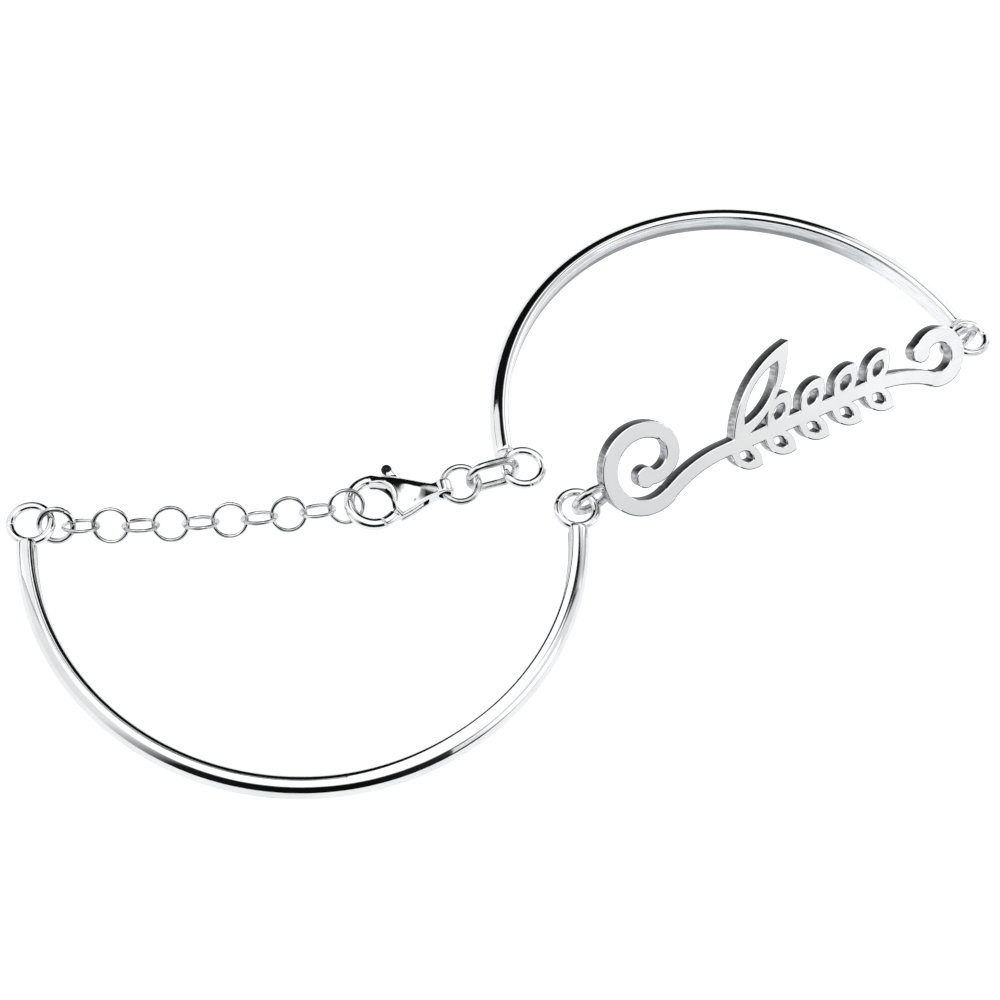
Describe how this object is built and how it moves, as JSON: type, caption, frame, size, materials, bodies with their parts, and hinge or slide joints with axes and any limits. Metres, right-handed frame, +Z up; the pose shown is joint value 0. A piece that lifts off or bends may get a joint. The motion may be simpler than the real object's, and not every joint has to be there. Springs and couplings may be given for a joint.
{
  "type": "nameplate bracelet",
  "caption": "Polished silver bracelet of two half bangles, a pierced scroll plate between them and a short trace chain with a lobster clasp, lying closed.",
  "frame": {"origin": "middle of the outline of the closed bracelet as it lies, on the table", "axes": "+Z up from the table, +X along the longest extent, from the chain towards the plate, +Y away from the viewer of the picture"},
  "size_m": [0.0738, 0.0596, 0.0072],
  "materials": {
    "silver": "polished"
  },
  "bodies": {
    "bracelet": {"lower_bangle": "silver", "upper_bangle": "silver", "nameplate": "silver", "clasp_body": "silver", "clasp_pin": "silver", "swivel_ring": "silver", "oval_ring": "silver", "chain_ring": "silver", "chain_link_01": "silver", "chain_link_02": "silver", "chain_link_03": "silver", "chain_link_04": "silver", "chain_link_05": "silver", "chain_link_06": "silver", "chain_link_07": "silver", "chain_link_08": "silver", "chain_link_09": "silver", "chain_link_10": "silver"},
    "clasp_gate": {"clasp_lever": "silver"}
  },
  "joints": [
    {"name": "gate_hinge", "type": "hinge", "parent": "bracelet", "child": "clasp_gate", "pos_m": [-0.00773, -0.00466, 0.00095], "axis": [0, 0, -1], "range_deg": [0, 28], "stiffness_Nm_per_rad": 0.001, "springref_deg": -5.73}
  ]
}
